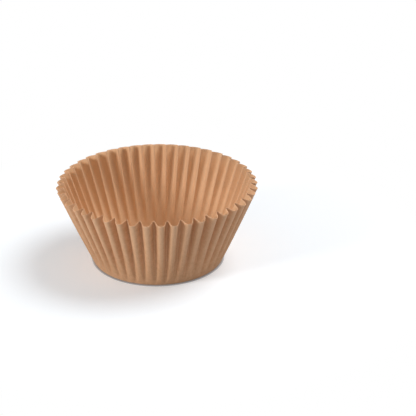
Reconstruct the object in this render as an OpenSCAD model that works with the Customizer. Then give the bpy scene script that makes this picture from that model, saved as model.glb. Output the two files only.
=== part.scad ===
// Paper baking cup: one disc of thin kraft paper, pressed into a flat base
// and a fluted wall that spreads towards the rim.
// It stands on its base with the mouth up. The origin is the centre of the
// underside of the base, and +Z is the axis of the cup.

/* [Base] */
// Diameter of the base, measured over the fold where the wall begins
base_d = 50; // [44:0.5:56]
// Radius of the fold between the base and the wall, on the outside
fold_r = 1; // [0.4:0.1:2]

/* [Wall] */
// Length of the wall measured along its slope, from the fold to the rim
wall_len = 32; // [26:0.5:40]
// Diameter of the rim, measured over the tips of the ridges
rim_d = 75; // [66:0.5:86]
// Width of the plain band above the fold, below the start of the flutes
band_w = 0.8; // [0.4:0.1:4]

/* [Flutes] */
// Number of flutes round the wall
flute_count = 45; // [30:1:54]
// Depth of a flute at the rim, from the tip of a ridge to the crease beside it
flute_depth = 2.7; // [1:0.1:4]
// Share of each flute that is ridge, and the rest is the narrower crease
ridge_share = 0.66; // [0.5:0.01:0.7]
// How the flutes deepen up the wall: 1 is evenly, and less is sooner
flute_growth = 0.7; // [0.6:0.02:1]

/* [Paper] */
// Thickness of the paper
paper_t = 0.06; // [0.04:0.01:0.2]

/* [Hidden] */

kraft = [0.82, 0.65, 0.50];

// Fineness of the surface
points_per_flute = 8;
fold_steps = 2;
flute_steps = 3;
columns = flute_count * points_per_flute;

// The mean wall, halfway between the tips of the ridges and the creases
mean_rim_r = (rim_d - flute_depth) / 2;
mean_lean = asin((mean_rim_r - base_d / 2) / wall_len);

// The profile that every column shares: flat base, fold and plain band
flat_r = base_d / 2 - fold_r;
fold_turn = 90 - mean_lean;
band_top_r = flat_r + fold_r * sin(fold_turn) + band_w * sin(mean_lean);
band_top_z = fold_r * (1 - cos(fold_turn)) + band_w * cos(mean_lean);
fluted_len = wall_len - band_w;

// Rings of points up the outside: ring 0 is where the fold starts
fold_end = fold_steps;
band_top = fold_end + 1;
rim = band_top + flute_steps;
ring_count = rim + 1;

// The wave across the flutes, from +1 on the tip of a ridge to -1 in a crease.
// Its phase runs ahead in the creases, so that round ridges meet in tight ones.
half_ridge = 180 * ridge_share;
phase_lead = (half_ridge - 90) / sin(half_ridge);
function wave(phase) = cos(phase - phase_lead * sin(phase));

// How far up the fluted wall a ring lies, from 0 to 1. The rings crowd
// towards the base, where the depth of the flutes changes fastest.
function climb(ring) = let (u = (ring - band_top) / flute_steps) u * (1 + u) / 2;

// Distance from the axis on the fluted wall
function fluted_r(ring, column) =
    let (
        depth = flute_depth * pow(climb(ring), flute_growth),
        mean_r = band_top_r + (mean_rim_r - band_top_r) * climb(ring)
    )
    mean_r + depth / 2 * wave(360 * column / points_per_flute);

// Height on the fluted wall. Paper doesn't stretch, so each line up the wall
// has the same length. One that runs out to the tip of a ridge ends lower
// than one that stays in a crease, and that gives the rim its scallops.
function fluted_z(ring, column) =
    ring == band_top ? band_top_z :
    let (
        along = fluted_len * (climb(ring) - climb(ring - 1)),
        outward = fluted_r(ring, column) - fluted_r(ring - 1, column)
    )
    fluted_z(ring - 1, column) + sqrt(along * along - outward * outward);

// Radius and height of a point on the outside of the paper
function profile(ring, column) =
    let (turn = fold_turn * ring / fold_steps)
    ring <= fold_end ? [flat_r + fold_r * sin(turn), fold_r * (1 - cos(turn))] :
    [fluted_r(ring, column), fluted_z(ring, column)];

// Direction of the paper up the profile
function uphill(ring, column) =
    let (turn = fold_turn * ring / fold_steps)
    ring <= fold_end ? [cos(turn), sin(turn)] :
    profile(min(ring + 1, rim), column) - profile(ring - 1, column);

function swing(p, column) =
    let (a = 360 * column / columns)
    [p.x * cos(a), p.x * sin(a), p.y];

function on_outside(ring, column) = swing(profile(ring, column), column);

// The inside lies one thickness from the outside, square to the paper
function on_inside(ring, column) =
    let (
        sideways = on_outside(ring, column + 1) - on_outside(ring, column - 1),
        inward = cross(swing(uphill(ring, column), column), sideways)
    )
    on_outside(ring, column) + paper_t * inward / norm(inward);

// One closed skin: up the outside from the base to the rim, and back down the
// inside. Its two ends are flat discs, the two faces of the base.
function on_skin(level, column) =
    level < ring_count ? on_outside(level, column) :
    on_inside(2 * ring_count - 1 - level, column);

module liner() {
    levels = 2 * ring_count;
    points = [
        for (level = [0 : levels - 1], column = [0 : columns - 1])
            on_skin(level, column)
    ];
    underside = [for (column = [0 : columns - 1]) column];
    cup_floor = [
        for (column = [columns - 1 : -1 : 0]) (levels - 1) * columns + column
    ];
    // The wall twists where its flutes deepen. Both of its faces are split
    // along the same diagonal there, so that neither passes through the other.
    strips = [
        for (level = [0 : levels - 2], column = [0 : columns - 1])
            let (
                a = level * columns + column,
                b = a + columns,
                d = level * columns + (column + 1) % columns,
                c = d + columns
            )
            each level < ring_count ?
                [[a, b, c], [a, c, d]] :
                [[a, b, d], [b, c, d]]
    ];
    color(kraft)
        polyhedron(points, concat([underside, cup_floor], strips));
}

liner();
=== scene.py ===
import math

import bpy
import numpy as np
from mathutils import Matrix, Vector


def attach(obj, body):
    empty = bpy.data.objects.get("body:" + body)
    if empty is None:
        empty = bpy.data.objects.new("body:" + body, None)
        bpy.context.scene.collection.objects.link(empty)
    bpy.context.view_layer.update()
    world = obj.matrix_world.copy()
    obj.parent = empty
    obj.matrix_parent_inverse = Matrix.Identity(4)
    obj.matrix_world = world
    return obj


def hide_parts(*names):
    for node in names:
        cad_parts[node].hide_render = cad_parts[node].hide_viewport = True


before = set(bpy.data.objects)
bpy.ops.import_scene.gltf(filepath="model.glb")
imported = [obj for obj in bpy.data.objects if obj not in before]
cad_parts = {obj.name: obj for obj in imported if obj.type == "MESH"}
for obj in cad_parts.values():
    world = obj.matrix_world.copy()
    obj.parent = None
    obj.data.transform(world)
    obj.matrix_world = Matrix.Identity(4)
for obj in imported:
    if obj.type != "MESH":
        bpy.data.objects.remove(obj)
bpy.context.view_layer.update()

mm = 0.001  # every length below is in millimetres until Blender gets it

# The camera: the photograph's height above the table and its long lens
shot = {
    "downAngle": 25.5,  # degrees below the horizon
    "turn": -1.9,  # degrees round the liner
    "distance": 595.0,
    "focalLength": 134.3,
    "sensorWidth": 36.0,
    "aimPoint": (19.1, 7.8, 16.2),  # what lies in the middle of the picture
    "nearest": 10.0,  # nothing closer or farther than these two is drawn
    "farthest": 20000.0,
}


def placeCamera(s):
    data = bpy.data.cameras.new("camera")
    data.sensor_width = s["sensorWidth"]
    data.lens = s["focalLength"]
    data.clip_start = s["nearest"] * mm
    data.clip_end = s["farthest"] * mm
    cam = bpy.data.objects.new("camera", data)
    down = math.radians(s["downAngle"])
    turn = math.radians(s["turn"])
    back = Vector((math.sin(turn) * math.cos(down), -math.cos(turn) * math.cos(down), math.sin(down)))
    aim = Matrix.Rotation(turn, 3, "Z") @ (Vector(s["aimPoint"]) * mm)
    cam.location = aim + back * s["distance"] * mm
    cam.rotation_euler = (-back).to_track_quat("-Z", "Y").to_euler()
    bpy.context.scene.collection.objects.link(cam)
    bpy.context.scene.camera = cam


placeCamera(shot)
print("camera placed")

# The liner's form, as it is pressed: these repeat the frame's own sizes
cup = {
    "baseDiameter": 50.0,
    "foldRadius": 1.0,
    "wallLength": 32.0,
    "rimDiameter": 75.0,
    "bandWidth": 0.8,  # plain paper between the fold and the flutes
    "flutes": 45,
    "fluteDepth": 2.7,
    "fluteGrowth": 0.70,  # how the flutes deepen up the wall: 1 is evenly, and less is sooner
    "ridgeShare": 0.66,  # share of each flute that is ridge, and the rest is crease
    "creaseFlat": 0.05,  # share of the depth that the flat tooth of the die leaves out
    "creaseSoft": 0.3,  # how softly that flat runs into the flute, as a share of it
    "paper": 0.06,
}

# What handling and the press leave on a real one
wear = {
    "seed": 7,
    "spacing": 0.06,  # share of a flute that a flute may stray sideways
    "slant": 0.06,  # share of a flute that it may drift on its way up
    "slantFrom": 0.4,  # where on its way a slanted flute stands in its place, from 0 to 1
    "depth": 0.06,  # share by which the depth of the flutes differs
    "lean": 0.22,  # how far the rim is out of round
    "leanWaves": (2, 3),  # and how many times round the cup
    "cut": 0.15,  # how far the cut edge of the blank strays
    "cutWaves": (1, 2, 5),
    "cutFade": 4,  # how quickly that dies away below the rim
    "lipWidth": 0.9,  # the last of the paper, which the die doesn't hold
    "lipOut": 0.09,  # how far it turns out
    "lipCurl": 1.5,  # 1 is evenly, and more is later on its way
    "baseDish": 0.10,  # how far the middle of the base stands off the table
    "pucker": 0.035,  # small creases at the edge of the base
    "puckerReach": 1.6,  # how far they run from it
    "crumple": 0.03,  # soft dents in the wall
    "dentWaves": 14,  # how many waves add up to them
    "dentCounts": (3, 60),  # each goes round the cup at least 3 times, and less than 60
    "dentTwist": 0.35,  # the most that a wave turns in a millimetre up the wall, in radians
    "dentStart": 4.0,  # how far up the fluted wall they have their full depth
    "pressing": 0.35,  # how slowly the press lines, the painted crease shade and the painted ridge highlights grow up the wall, 0 being at once
}

# How finely the mesh is made
mesh = {
    "perFlute": 24,
    "crowd": 0.6,  # how much closer the lines lie at the inward creases
    "baseRings": 7,
    "baseMiddle": 0.03,  # share of the base's area that lies inside its first ring
    "foldRings": 5,
    "bandRings": 2,
    "wallRings": 18,
    "wallCrowd": 0.35,  # how much closer the rings lie low on the wall
    "lipRings": 4,
    "outwardLimit": 0.8,  # most of a step up the wall that may go outward, both squared
    "faceGap": 7.0,  # height on the blank of its inside face, which has a pattern of its own
}


def waveSum(angle, rng, counts, size):
    # a smooth closed curve round the cup, made of a few waves
    total = np.zeros_like(angle)
    for count in counts:
        tall = rng.normal()
        total += tall * np.cos(count * angle + rng.uniform(0, 2 * np.pi)) / math.sqrt(len(counts))
    return size * total


def perFluteSteps(angle, flutes, rng, size):
    # one random value for each flute, joined smoothly round the cup
    knots = rng.uniform(-1, 1, flutes)
    place = (angle / (2 * np.pi) * flutes) % flutes
    left = np.floor(place).astype(int) % flutes
    t = place - np.floor(place)
    t = t * t * (3 - 2 * t)
    return size * (knots[left] * (1 - t) + knots[(left + 1) % flutes] * t)


def softDents(around, upward, rng, w):
    # slow waves over the sheet, by the angle round the cup and the way up the paper
    total = np.zeros(np.broadcast(around, upward).shape)
    for i in range(w["dentWaves"]):
        count = rng.integers(*w["dentCounts"])
        twist = rng.uniform(-w["dentTwist"], w["dentTwist"])
        total += np.cos(count * around + twist * upward + rng.uniform(0, 2 * np.pi))
    return total / math.sqrt(w["dentWaves"])


def fluteWave(phase, c):
    # from 1 on an outward ridge to -1 in an inward crease: round ridges that meet in tight creases
    lead = (math.pi * c["ridgeShare"] - math.pi / 2) / math.sin(math.pi * c["ridgeShare"])
    out = (1 + np.cos(phase - lead * np.sin(phase))) / 2 - c["creaseFlat"]
    soft = c["creaseSoft"] * c["creaseFlat"]
    level = (out + np.sqrt(out ** 2 + soft ** 2)) / 2
    return 2 * (level - level.min()) / (level.max() - level.min()) - 1


def cupProfile(c):
    # what follows from the sizes: three radii, two angles, and ways up the paper, of which the
    # last two start in the middle of the base
    flat = c["baseDiameter"] / 2 - c["foldRadius"]
    meanRim = (c["rimDiameter"] - c["fluteDepth"]) / 2
    lean = math.asin((meanRim - c["baseDiameter"] / 2) / c["wallLength"])
    foldTurn = math.pi / 2 - lean
    fold = c["foldRadius"] * foldTurn
    return {
        "flat": flat,
        "bandTop": flat + c["foldRadius"] * math.sin(foldTurn) + c["bandWidth"] * math.sin(lean),
        "meanRim": meanRim,  # halfway between the ridges and the creases
        "lean": lean,
        "foldTurn": foldTurn,
        "fold": fold,
        "bandEnd": flat + fold + c["bandWidth"],
        "rim": flat + fold + c["wallLength"],
    }


def ringStations(p, c, w, m):
    # the way up the paper to every ring of points
    def steps(count):
        return np.linspace(0, 1, count + 1)[1:]

    up = steps(m["wallRings"])
    crowded = m["wallCrowd"] * up * up + (1 - m["wallCrowd"]) * up
    lipStart = p["rim"] - w["lipWidth"]
    return np.concatenate([
        p["flat"] * np.sqrt(np.linspace(m["baseMiddle"], 1, m["baseRings"])),
        p["flat"] + p["fold"] * steps(m["foldRings"]),
        p["flat"] + p["fold"] + c["bandWidth"] * steps(m["bandRings"]),
        p["bandEnd"] + (lipStart - p["bandEnd"]) * crowded,
        lipStart + w["lipWidth"] * steps(m["lipRings"]),
    ])


def fluteLines(c, m):
    # the lines up the wall by their phase in the flutes, from 0 on the tip of the first ridge
    across = np.arange(m["perFlute"]) / m["perFlute"] * 2 * np.pi
    across = across + m["crowd"] * np.sin(across)
    return (np.arange(c["flutes"])[:, None] * 2 * np.pi + across[None, :]).reshape(1, -1)


def lineAngles(even, climb, c, w, rng):
    # each flute strays a little to one side, and drifts on its way up
    stray = perFluteSteps(even, c["flutes"], rng, w["spacing"])
    drift = perFluteSteps(even, c["flutes"], rng, w["slant"]) * (climb - w["slantFrom"])
    return even + (stray + drift) * 2 * np.pi / c["flutes"]


def wallRadius(s, even, climb, wave, p, c, w, rng):
    # distance from the axis on the fluted wall
    deeper = 1 + perFluteSteps(even, c["flutes"], rng, w["depth"])
    depth = c["fluteDepth"] * climb ** c["fluteGrowth"] * deeper
    outOfRound = waveSum(even, rng, w["leanWaves"], w["lean"]) * climb
    lip = np.clip((s - s[-1]) / w["lipWidth"] + 1, 0, 1)
    lipOut = w["lipOut"] * lip ** w["lipCurl"]
    mean = p["bandTop"] + (p["meanRim"] - p["bandTop"]) * climb
    return mean + depth / 2 * wave + outOfRound + lipOut


def pressedSheet(p, c, w, m):
    # the outside of the paper: rings of points from the middle of the base to the rim
    rng = np.random.default_rng(w["seed"])
    s = ringStations(p, c, w, m)[:, None]
    phase = fluteLines(c, m)
    even = phase / c["flutes"]
    climb = np.clip((s - p["bandEnd"]) / (c["wallLength"] - c["bandWidth"]), 0, 1)
    angle = lineAngles(even, climb, c, w, rng)
    wave = fluteWave(phase, c)

    # the flat base, the fold and the plain band are the same all round
    turn = np.clip((s - p["flat"]) / p["fold"], 0, 1) * p["foldTurn"]
    upBand = np.clip(s - p["flat"] - p["fold"], 0, c["bandWidth"])
    bandRadius = p["flat"] + c["foldRadius"] * np.sin(turn) + upBand * math.sin(p["lean"])
    bandHeight = c["foldRadius"] * (1 - np.cos(turn)) + upBand * math.cos(p["lean"])
    flatRings = m["baseRings"]
    plainRings = flatRings + m["foldRings"] + m["bandRings"]
    radius = wallRadius(s, even, climb, wave, p, c, w, rng)
    radius[:plainRings] = bandRadius[:plainRings]
    radius[:flatRings] = s[:flatRings]

    # paper doesn't stretch: a step that runs outward rises less, and that scallops the rim
    height = np.broadcast_to(bandHeight, radius.shape).copy()
    for i in range(plainRings, len(s)):
        along = s[i] - s[i - 1]
        outward = radius[i] - radius[i - 1]
        height[i] = height[i - 1] + np.sqrt(
            along ** 2 - np.minimum(outward ** 2, m["outwardLimit"] * along ** 2)
        )

    # the blank is never cut or centred quite true, so the rim wanders
    height += waveSum(even, rng, w["cutWaves"], w["cut"]) * climb ** w["cutFade"]
    inBase = np.clip(s / p["flat"], 0, 1)
    height += w["baseDish"] * (1 - inBase ** 2) ** 2
    nearFold = np.exp(-((s - p["flat"]) / w["puckerReach"]) ** 2)
    height += w["pucker"] * nearFold * (0.5 + 0.5 * wave) * (s <= p["flat"] + p["fold"])

    points = np.stack([radius * np.cos(angle), radius * np.sin(angle), height], axis=-1)
    dents = softDents(even, s, rng, w) * np.clip((s - p["bandEnd"]) / w["dentStart"], 0, 1)
    points += sheetNormals(points) * (w["crumple"] * dents)[..., None]
    return points, s, angle, climb, wave


def sheetNormals(points):
    # unit vectors square to the paper, pointing out of the cup
    around = np.roll(points, -1, axis=1) - np.roll(points, 1, axis=1)
    upward = np.gradient(points, axis=0)
    normals = np.cross(around, upward)
    return normals / np.linalg.norm(normals, axis=-1, keepdims=True)


def closeSheet(points, thickness):
    # adds the inside of the paper one thickness in, and returns one closed skin
    rings, columns = points.shape[:2]
    inner = points - sheetNormals(points) * thickness
    skin = np.concatenate([points, inner[::-1]]).reshape(-1, 3)
    middles = np.array([[0, 0, points[0, :, 2].mean()], [0, 0, inner[0, :, 2].mean()]])
    here = np.arange(columns)
    beside = (here + 1) % columns
    quads = []
    for level in range(2 * rings - 1):
        low = level * columns
        high = low + columns
        quads.append(np.stack([low + here, low + beside, high + beside, high + here], axis=1))
    under = len(skin)  # the middle of the underside, and the next point is the middle of the floor
    last = len(skin) - columns
    fans = [[under, int(n), int(k)] for k, n in zip(here, beside)]
    fans += [[under + 1, int(last + k), int(last + n)] for k, n in zip(here, beside)]
    return np.concatenate([skin, middles]), np.concatenate(quads).tolist() + fans


def markRim(data, rings, columns):
    # the cut edge at the rim stays crisp, and takes its own material
    ends = np.zeros(len(data.edges) * 2, int)
    data.edges.foreach_get("vertices", ends)
    level = ends.reshape(-1, 2) // columns
    rimEdges = np.all(level == rings - 1, axis=1) | np.all(level == rings, axis=1)
    crisp = data.attributes.new("sharp_edge", "BOOLEAN", "EDGE")
    crisp.data.foreach_set("value", rimEdges)
    slots = np.zeros(len(data.polygons), int)
    slots[(rings - 1) * columns: rings * columns] = 1
    data.polygons.foreach_set("material_index", slots)


def markBlank(data, s, angle, faceGap):
    # where each point lay on the flat blank
    front = np.stack([s * np.cos(angle), s * np.sin(angle), np.zeros_like(angle)], axis=-1)
    back = front[::-1].copy()
    back[..., 2] = faceGap
    place = np.concatenate([front.reshape(-1, 3), back.reshape(-1, 3), [[0, 0, 0], [0, 0, faceGap]]])
    blank = data.attributes.new("blank", "FLOAT_VECTOR", "POINT")
    blank.data.foreach_set("vector", place.ravel())


def markRidges(data, crest):
    # from 1 where the press has made a ridge to -1 where it has made a crease; it places the press
    # lines, the painted shade in the creases and the painted highlights on the ridges
    press = np.concatenate([crest.ravel(), crest[::-1].ravel(), [0, 0]])
    ridge = data.attributes.new("ridge", "FLOAT", "POINT")
    ridge.data.foreach_set("value", press)


def buildLiner(p, c, w, m):
    points, s, angle, climb, wave = pressedSheet(p, c, w, m)
    verts, faces = closeSheet(points, c["paper"])
    data = bpy.data.meshes.new("liner_paper")
    data.from_pydata((verts * mm).tolist(), [], faces)
    data.update()
    data.polygons.foreach_set("use_smooth", [True] * len(data.polygons))
    markRim(data, *angle.shape)
    markBlank(data, s, angle, m["faceGap"])
    markRidges(data, wave * climb ** w["pressing"])
    ob = bpy.data.objects.new("liner_paper", data)
    bpy.context.scene.collection.objects.link(ob)
    return ob


profile = cupProfile(cup)
liner = buildLiner(profile, cup, wear, mesh)
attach(liner, "root")
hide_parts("liner")
print("liner pressed:", len(liner.data.polygons), "faces")

# The paper: unbleached kraft, thin enough to let a little light through
paper = {
    "colour": (0.77, 0.45, 0.25),
    "insideColour": (0.84, 0.58, 0.35),  # the inner face, painted paler and less saturated as painted light inside the cup
    "cloudColour": (0.66, 0.365, 0.19),  # the darker clouds in the sheet
    "fibreColour": (0.86, 0.56, 0.35),  # the palest fibres
    "fleckColour": (0.33, 0.17, 0.08),
    "creaseColour": (0.58, 0.31, 0.155),  # painted shade, darkening the creases
    "edgeGain": 1.12,  # how much paler all of them are at the cut edge
    "roughness": 0.64,
    "shine": 0.35,
    "relief": 0.022,  # height of fibres and press lines
    "throughLight": 0.08,
    "throughColour": (0.95, 0.58, 0.32),
}

# The sheet's own pattern, in millimetres on the flat blank
sheet = {
    "cloudSize": 1.7,
    "driftSize": 16.0,
    "grainSize": 0.16,
    "driftShare": 0.5,  # what the slow drift and the grain add to the clouds
    "grainShare": 0.45,
    "cloudRange": (0.78, 1.16),  # from clear paper to full cloud
    "fibreLength": 2.6,
    "fibreWidth": 0.11,
    "fibreTurn": 23.0,  # degrees between the pale fibres and the X axis of the blank
    "crossingTurn": -62.0,  # degrees from the pale fibres to the dark ones that cross them
    "paleRange": (0.55, 0.74),
    "paleTone": 0.75,
    "darkRange": (0.56, 0.74),
    "darkTone": 0.7,
    "fleckSpacing": 1.9,
    "fleckLength": 0.34,
    "fleckShape": 0.3,  # its width over its length
    "fleckTurn": 20.0,  # degrees from the pale fibres
    "fleckCore": 0.4,  # share of a fleck that is fully dark
    "fleckTone": 0.8,
    "fleckCells": (0.42, 0.62),  # the cells with a random shade above this have one
    "pressLines": 7.0,  # fine lines left by the die, for each flute
    "lineChange": 0.05,  # how fast they change along the wall
    "lineGrowth": (0.75, -0.6),  # from a ridge, where they are weak, to a crease
    "ridgeLines": 0.25,  # how much of them is left on a ridge
    "lineRange": (0.40, 0.70),
    "lineTone": 0.5,
    "creaseRange": (-0.70, -0.99),
    "creaseTone": 0.28,  # how dark the creases are painted, as painted shade
    "ridgeRange": (0.5, 1.0),
    "ridgeTone": 0.45,  # a painted highlight: how much paler the folds that stand proud of either face are painted
    "insideTone": 0.6,  # how much of the painted light colour of the inner face shows over the clouds
    "lipTone": 0.5,  # a painted highlight: how much paler the paper is painted along the rim, where the die doesn't reach
    "grainRange": (0.3, 0.7),
    "grainDull": (-0.08, 0.1),  # what the grain adds to the roughness
    "grainRelief": 0.7,  # heights of the grain and of the press lines, over that of a fibre
    "lineRelief": 1.6,
}


def newGroup(name, inputs, outputs):
    group = bpy.data.node_groups.new(name, "ShaderNodeTree")
    for label, kind, value in inputs:
        socket = group.interface.new_socket(label, in_out="INPUT", socket_type=kind)
        socket.default_value = value
    for label, kind in outputs:
        group.interface.new_socket(label, in_out="OUTPUT", socket_type=kind)
    return group


def addNode(tree, kind, place, **values):
    # names that the node has itself are set on it, all others on its sockets
    node = tree.nodes.new(kind)
    node.location = place
    for key, value in values.items():
        if hasattr(node, key):
            setattr(node, key, value)
        else:
            node.inputs[key.replace("_", " ")].default_value = value
    return node


def feed(tree, socket, given):
    # what is given is a number or another node's output
    if isinstance(given, (int, float)):
        socket.default_value = given
    else:
        tree.links.new(given, socket)


def addMath(tree, operation, place, first, second):
    node = addNode(tree, "ShaderNodeMath", place, operation=operation)
    feed(tree, node.inputs[0], first)
    feed(tree, node.inputs[1], second)
    return node.outputs[0]


def addVector(tree, operation, place, first):
    node = addNode(tree, "ShaderNodeVectorMath", place, operation=operation)
    tree.links.new(first, node.inputs[0])
    return node


def addRange(tree, source, place, span, toLow=0.0, toHigh=1.0):
    node = addNode(
        tree, "ShaderNodeMapRange", place,
        From_Min=span[0], From_Max=span[1], To_Min=toLow, To_Max=toHigh,
    )
    tree.links.new(source, node.inputs["Value"])
    return node.outputs["Result"]


def addNoise(tree, vector, place, scale, detail, roughness=0.55, distortion=0.0):
    node = addNode(
        tree, "ShaderNodeTexNoise", place,
        Scale=scale, Detail=detail, Roughness=roughness, Distortion=distortion,
    )
    tree.links.new(vector, node.inputs["Vector"])
    return node.outputs["Fac"]


def addMix(tree, share, place, first, second):
    node = addNode(tree, "ShaderNodeMix", place, data_type="RGBA")
    tree.links.new(share, node.inputs["Factor"])
    tree.links.new(first, node.inputs["A"])
    tree.links.new(second, node.inputs["B"])
    return node.outputs["Result"]


def mixShaders(tree, share, place, first, second):
    node = addNode(tree, "ShaderNodeMixShader", place)
    feed(tree, node.inputs[0], share)
    tree.links.new(first.outputs[0], node.inputs[1])
    tree.links.new(second.outputs[0], node.inputs[2])
    return node


def stretchedBlank(tree, blank, place, turn, size):
    # the blank's own coordinates, turned and drawn out to a cell of this size
    node = addNode(tree, "ShaderNodeMapping", place, vector_type="TEXTURE")
    node.inputs["Rotation"].default_value = (0, 0, math.radians(turn))
    node.inputs["Scale"].default_value = size
    tree.links.new(blank, node.inputs["Vector"])
    return node.outputs["Vector"]


def fibreNoise(tree, blank, place, turn, waver, g):
    size = (g["fibreLength"], g["fibreWidth"], 1.0)
    along = stretchedBlank(tree, blank, (place[0] - 250, place[1]), turn, size)
    return addNoise(tree, along, place, 1.0, 3.0, 0.6, waver)


def fleckMask(tree, blank, g):
    # flecks of bark, longer than wide, and only in some of the cells
    size = (g["fleckSpacing"], g["fleckSpacing"] * g["fleckShape"], 1.0)
    cells = stretchedBlank(tree, blank, (-1250, -800), g["fibreTurn"] + g["fleckTurn"], size)
    fleck = addNode(tree, "ShaderNodeTexVoronoi", (-1000, -650), Scale=1.0, Randomness=1.0)
    tree.links.new(cells, fleck.inputs["Vector"])
    reach = g["fleckLength"] / g["fleckSpacing"] / 2
    edge = (reach * g["fleckCore"], reach)
    dark = addRange(tree, fleck.outputs["Distance"], (-750, -600), edge, g["fleckTone"], 0.0)
    some = addRange(tree, fleck.outputs["Color"], (-750, -800), g["fleckCells"])
    return addMath(tree, "MULTIPLY", (-550, -650), dark, some)


def pressLineMask(tree, blank, flatBlank, ridge, flutes, g):
    # press lines run up the wall: the noise is read on a circle, so it closes on itself
    spoke = addVector(tree, "NORMALIZE", (-1200, -1150), flatBlank)
    ring = addVector(tree, "SCALE", (-1050, -1150), spoke.outputs[0])
    ring.inputs["Scale"].default_value = g["pressLines"] * flutes / (2 * math.pi)
    slow = addVector(tree, "MULTIPLY", (-1050, -1350), blank)
    slow.inputs[1].default_value = (g["lineChange"], g["lineChange"], 1.0)
    place = addVector(tree, "ADD", (-900, -1200), ring.outputs[0])
    tree.links.new(slow.outputs[0], place.inputs[1])
    lines = addNoise(tree, place.outputs[0], (-750, -1200), 1.0, 2.0, 0.55)
    pressed = addRange(tree, ridge, (-750, -1000), g["lineGrowth"], g["ridgeLines"], 1.0)
    return addMath(tree, "MULTIPLY", (-550, -1100), lines, pressed)


def paperFibres(g, flutes, rim, lip, faceGap):
    # clouds, fibres, flecks and press lines, laid out on the flat blank in millimetres
    tree = newGroup(
        "paperFibres",
        [
            ("Colour", "NodeSocketColor", (0.8, 0.5, 0.3, 1)),
            ("Inside Colour", "NodeSocketColor", (0.8, 0.5, 0.3, 1)),
            ("Cloud Colour", "NodeSocketColor", (0.7, 0.4, 0.25, 1)),
            ("Fibre Colour", "NodeSocketColor", (0.9, 0.6, 0.4, 1)),
            ("Fleck Colour", "NodeSocketColor", (0.5, 0.3, 0.15, 1)),
            ("Crease Colour", "NodeSocketColor", (0.5, 0.3, 0.15, 1)),
            ("Roughness", "NodeSocketFloat", 0.6),
        ],
        [
            ("Colour", "NodeSocketColor"),
            ("Roughness", "NodeSocketFloat"),
            ("Height", "NodeSocketFloat"),
        ],
    )
    link = tree.links.new
    given = addNode(tree, "NodeGroupInput", (-1600, 0)).outputs
    out = addNode(tree, "NodeGroupOutput", (1400, 0)).inputs
    where = addNode(tree, "ShaderNodeAttribute", (-1600, -300), attribute_name="blank")
    blank = where.outputs["Vector"]
    press = addNode(tree, "ShaderNodeAttribute", (-1600, -900), attribute_name="ridge")
    ridge = press.outputs["Fac"]
    flatBlank = addVector(tree, "MULTIPLY", (-1350, -1150), blank)
    flatBlank.inputs[1].default_value = (1, 1, 0)

    cloud = addNoise(tree, blank, (-1000, 400), 1 / g["cloudSize"], 4.0, 0.6)
    drift = addNoise(tree, blank, (-1000, 200), 1 / g["driftSize"], 2.0)
    grain = addNoise(tree, blank, (-1000, 0), 1 / g["grainSize"], 2.0, 0.6)
    pale = fibreNoise(tree, blank, (-1000, -200), g["fibreTurn"], 1.2, g)
    dark = fibreNoise(tree, blank, (-1000, -400), g["fibreTurn"] + g["crossingTurn"], 1.6, g)
    flecks = fleckMask(tree, blank, g)
    lines = pressLineMask(tree, blank, flatBlank.outputs[0], ridge, flutes, g)

    # the sheet: clouds, the inner face painted paler as painted light, and fibres
    grainPart = addMath(tree, "MULTIPLY", (-750, 150), grain, g["grainShare"])
    driftPart = addMath(tree, "MULTIPLY", (-550, 150), drift, g["driftShare"])
    tones = addMath(tree, "ADD", (-550, 350), cloud, grainPart)
    tones = addMath(tree, "ADD", (-400, 350), tones, driftPart)
    clouds = addRange(tree, tones, (-250, 350), g["cloudRange"])
    colour = addMix(tree, clouds, (-50, 300), given["Colour"], given["Cloud Colour"])
    side = addNode(tree, "ShaderNodeSeparateXYZ", (-450, 550))
    link(blank, side.inputs[0])
    between = (faceGap / 2 - 0.5, faceGap / 2 + 0.5)
    # painted light: the inner face is given its paler colour
    inside = addRange(tree, side.outputs["Z"], (-250, 550), between, 0.0, g["insideTone"])
    colour = addMix(tree, inside, (50, 300), colour, given["Inside Colour"])
    darkTone = addRange(tree, dark, (-550, -400), g["darkRange"], 0.0, g["darkTone"])
    colour = addMix(tree, darkTone, (150, 250), colour, given["Cloud Colour"])
    paleTone = addRange(tree, pale, (-550, -200), g["paleRange"], 0.0, g["paleTone"])
    colour = addMix(tree, paleTone, (350, 200), colour, given["Fibre Colour"])

    # press lines and flecks, with painted shade in the creases and painted highlights on the ridges
    # and along the rim
    # painted shade: the creases are darkened in colour
    crease = addRange(tree, ridge, (150, -900), g["creaseRange"], 0.0, g["creaseTone"])
    colour = addMix(tree, crease, (550, 150), colour, given["Crease Colour"])
    outward = addRange(tree, side.outputs["Z"], (-250, 750), between, 1.0, -1.0)
    # painted highlight: the folds that stand proud of either face are made paler
    proud = addMath(tree, "MULTIPLY", (200, -1000), ridge, outward)
    ridgeHighlight = addRange(tree, proud, (350, -900), g["ridgeRange"], 0.0, g["ridgeTone"])
    colour = addMix(tree, ridgeHighlight, (650, 125), colour, given["Fibre Colour"])
    lineTone = addRange(tree, lines, (350, -700), g["lineRange"], 0.0, g["lineTone"])
    colour = addMix(tree, lineTone, (750, 100), colour, given["Cloud Colour"])
    # painted highlight along the rim
    far = addVector(tree, "LENGTH", (350, -1100), flatBlank.outputs[0])
    lipTone = addRange(tree, far.outputs["Value"], (550, -1000), (rim - lip, rim), 0.0, g["lipTone"])
    colour = addMix(tree, lipTone, (850, 75), colour, given["Fibre Colour"])
    colour = addMix(tree, flecks, (1050, 50), colour, given["Fleck Colour"])
    link(colour, out["Colour"])

    dull = addRange(tree, grain, (550, -200), g["grainRange"], *g["grainDull"])
    link(addMath(tree, "ADD", (750, -200), dull, given["Roughness"]), out["Roughness"])

    grainHeight = addMath(tree, "MULTIPLY", (550, -550), grain, g["grainRelief"])
    lineHeight = addMath(tree, "MULTIPLY", (750, -550), lines, g["lineRelief"])
    relief = addMath(tree, "ADD", (550, -400), pale, dark)
    relief = addMath(tree, "ADD", (750, -400), relief, grainHeight)
    relief = addMath(tree, "ADD", (950, -400), relief, lineHeight)
    link(relief, out["Height"])
    return tree


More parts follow.
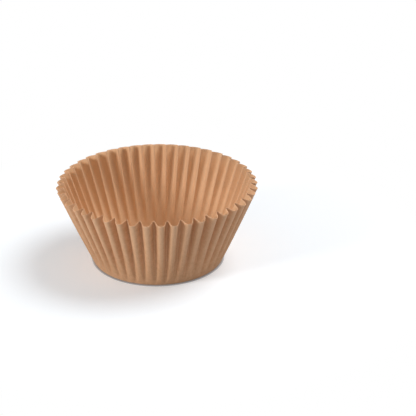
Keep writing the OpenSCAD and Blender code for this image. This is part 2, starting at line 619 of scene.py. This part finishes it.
def paperMaterial(name, p, fibres, gain, through):
    mat = bpy.data.materials.new(name)
    mat.use_nodes = True
    tree = mat.node_tree
    tree.nodes.clear()
    link = tree.links.new
    group = addNode(tree, "ShaderNodeGroup", (-700, 0))
    group.node_tree = fibres
    for socket in group.inputs:
        if socket.name.endswith("Colour"):
            key = socket.name[0].lower() + socket.name[1:].replace(" ", "")
            socket.default_value = [min(1.0, v * gain) for v in p[key]] + [1.0]
    group.inputs["Roughness"].default_value = p["roughness"]
    bump = addNode(tree, "ShaderNodeBump", (-300, -250), Strength=1.0, Distance=p["relief"] * mm)
    link(group.outputs["Height"], bump.inputs["Height"])
    shader = addNode(tree, "ShaderNodeBsdfPrincipled", (0, 100))
    shader.inputs["Specular IOR Level"].default_value = p["shine"]
    link(group.outputs["Colour"], shader.inputs["Base Color"])
    link(group.outputs["Roughness"], shader.inputs["Roughness"])
    link(bump.outputs["Normal"], shader.inputs["Normal"])
    glow = addNode(tree, "ShaderNodeBsdfTranslucent", (0, -400), Color=(*p["throughColour"], 1))
    link(bump.outputs["Normal"], glow.inputs["Normal"])
    mix = mixShaders(tree, through, (300, 0), shader, glow)
    output = addNode(tree, "ShaderNodeOutputMaterial", (500, 0))
    link(mix.outputs[0], output.inputs["Surface"])
    return mat


fibres = paperFibres(sheet, cup["flutes"], profile["rim"], wear["lipWidth"], mesh["faceGap"])
kraft = paperMaterial("kraft_paper", paper, fibres, 1.0, paper["throughLight"])
cutEdge = paperMaterial("kraft_cut_edge", paper, fibres, paper["edgeGain"], 0.0)
liner.data.materials.append(kraft)
liner.data.materials.append(cutEdge)
print("paper material made")

# The table: plain white, fading into the white all round
table = {
    "radius": 1200.0,
    "corners": 96,
    "drop": 0.05,  # below the base, so that the two faces don't touch
    "hole": 23.8,  # its radius; the base hides it, and the room lights the underside through it
    "colour": (0.85, 0.895, 0.935),
    "bounce": (0.60, 0.60, 0.61),  # what the table gives back to the liner
    "glow": 0.18,  # how far the table's shade is lifted
    "nearShade": 0.9,  # how far out the painted contact shadow reaches round the base
    "nearDark": 2.6,  # and how strongly
    "nearColour": (0.12, 0.075, 0.05),
    "nearSamples": 8,
    "fadeStart": 45.0,  # from the middle of the liner
    "fadeEnd": 110.0,
}


def tableMesh(t):
    # a flat ring that faces up
    n = t["corners"]
    angle = np.arange(n) / n * 2 * np.pi
    verts = [
        (r * mm * math.cos(a), r * mm * math.sin(a), -t["drop"] * mm)
        for r in (t["hole"], t["radius"]) for a in angle
    ]
    faces = [[k, k + n, (k + 1) % n + n, (k + 1) % n] for k in range(n)]
    data = bpy.data.meshes.new("table")
    data.from_pydata(verts, [], faces)
    return data


def tableColourAndShadow(tree, t):
    # white, with a painted shadow in a thin line round the base
    near = addNode(
        tree, "ShaderNodeAmbientOcclusion", (-900, 400),
        samples=t["nearSamples"], Distance=t["nearShade"] * mm,
    )
    shade = addMath(tree, "POWER", (-700, 400), near.outputs["AO"], t["nearDark"])
    shown = addNode(
        tree, "ShaderNodeMix", (-500, 300), data_type="RGBA",
        A=(*t["nearColour"], 1), B=(*t["colour"], 1),
    )
    tree.links.new(shade, shown.inputs["Factor"])
    return shown.outputs["Result"]


def tableFade(tree, t):
    # from 0 near the liner to 1 where the table has become white
    spot = addNode(tree, "ShaderNodeTexCoord", (-900, 0))
    far = addVector(tree, "LENGTH", (-700, 0), spot.outputs["Object"])
    fade = addNode(
        tree, "ShaderNodeMapRange", (-500, 0), interpolation_type="SMOOTHSTEP",
        From_Min=t["fadeStart"] * mm, From_Max=t["fadeEnd"] * mm,
    )
    tree.links.new(far.outputs["Value"], fade.inputs["Value"])
    return fade.outputs["Result"]


def tableMaterial(t):
    mat = bpy.data.materials.new("white_table")
    mat.use_nodes = True
    tree = mat.node_tree
    tree.nodes.clear()
    link = tree.links.new

    # what the camera sees: the shade near the liner, and white farther out
    lit = addNode(tree, "ShaderNodeBsdfDiffuse", (-300, 200))
    link(tableColourAndShadow(tree, t), lit.inputs["Color"])
    lift = addNode(tree, "ShaderNodeEmission", (-300, 50), Strength=t["glow"])
    both = addNode(tree, "ShaderNodeAddShader", (-100, 150))
    link(lit.outputs[0], both.inputs[0])
    link(lift.outputs[0], both.inputs[1])
    white = addNode(tree, "ShaderNodeEmission", (-100, -50), Strength=1.0)
    seen = mixShaders(tree, tableFade(tree, t), (100, 100), both, white)

    # what the liner gets back from it, and nothing at all from below
    plain = addNode(tree, "ShaderNodeBsdfDiffuse", (100, -150), Color=(*t["bounce"], 1))
    path = addNode(tree, "ShaderNodeLightPath", (100, 450))
    view = mixShaders(tree, path.outputs["Is Camera Ray"], (350, 100), plain, seen)
    facing = addNode(tree, "ShaderNodeNewGeometry", (350, 400))
    clear = addNode(tree, "ShaderNodeBsdfTransparent", (350, -150))
    under = mixShaders(tree, facing.outputs["Backfacing"], (600, 100), view, clear)
    output = addNode(tree, "ShaderNodeOutputMaterial", (800, 100))
    link(under.outputs[0], output.inputs["Surface"])
    return mat


floor = bpy.data.objects.new("table", tableMesh(table))
floor.data.materials.append(tableMaterial(table))
bpy.context.scene.collection.objects.link(floor)
print("table made")

# Light: a soft lamp low at the left in front, a large one high at the right and a little behind,
# and white all round
light = {
    "room": 0.30,
    "aimHeight": 15.0,  # what both lamps point at, above the middle of the base
    "key": {"place": (-820, -460, 420), "size": 360, "power": 5.8},
    "fill": {"place": (560, 200, 850), "size": 800, "power": 8.2},
}


def addLamp(name, lamp, aimHeight):
    data = bpy.data.lights.new(name, "AREA")
    data.shape = "DISK"
    data.size = lamp["size"] * mm
    data.energy = lamp["power"]
    ob = bpy.data.objects.new(name, data)
    ob.location = Vector(lamp["place"]) * mm
    aim = Vector((0, 0, aimHeight)) * mm
    ob.rotation_euler = (aim - ob.location).to_track_quat("-Z", "Y").to_euler()
    bpy.context.scene.collection.objects.link(ob)


def lightRoom(strength):
    # the camera sees white, and the liner gets the room's strength
    world = bpy.data.worlds.new("room")
    bpy.context.scene.world = world
    world.use_nodes = True
    tree = world.node_tree
    tree.nodes.clear()
    soft = addNode(tree, "ShaderNodeBackground", (0, 100), Color=(1, 1, 1, 1), Strength=strength)
    white = addNode(tree, "ShaderNodeBackground", (0, -100), Color=(1, 1, 1, 1), Strength=1.0)
    path = addNode(tree, "ShaderNodeLightPath", (0, 400))
    mix = mixShaders(tree, path.outputs["Is Camera Ray"], (250, 0), soft, white)
    output = addNode(tree, "ShaderNodeOutputWorld", (450, 0))
    tree.links.new(mix.outputs[0], output.inputs["Surface"])


lightRoom(light["room"])
addLamp("key", light["key"], light["aimHeight"])
addLamp("fill", light["fill"], light["aimHeight"])
bpy.context.scene.view_settings.view_transform = "Standard"
print("lights placed")
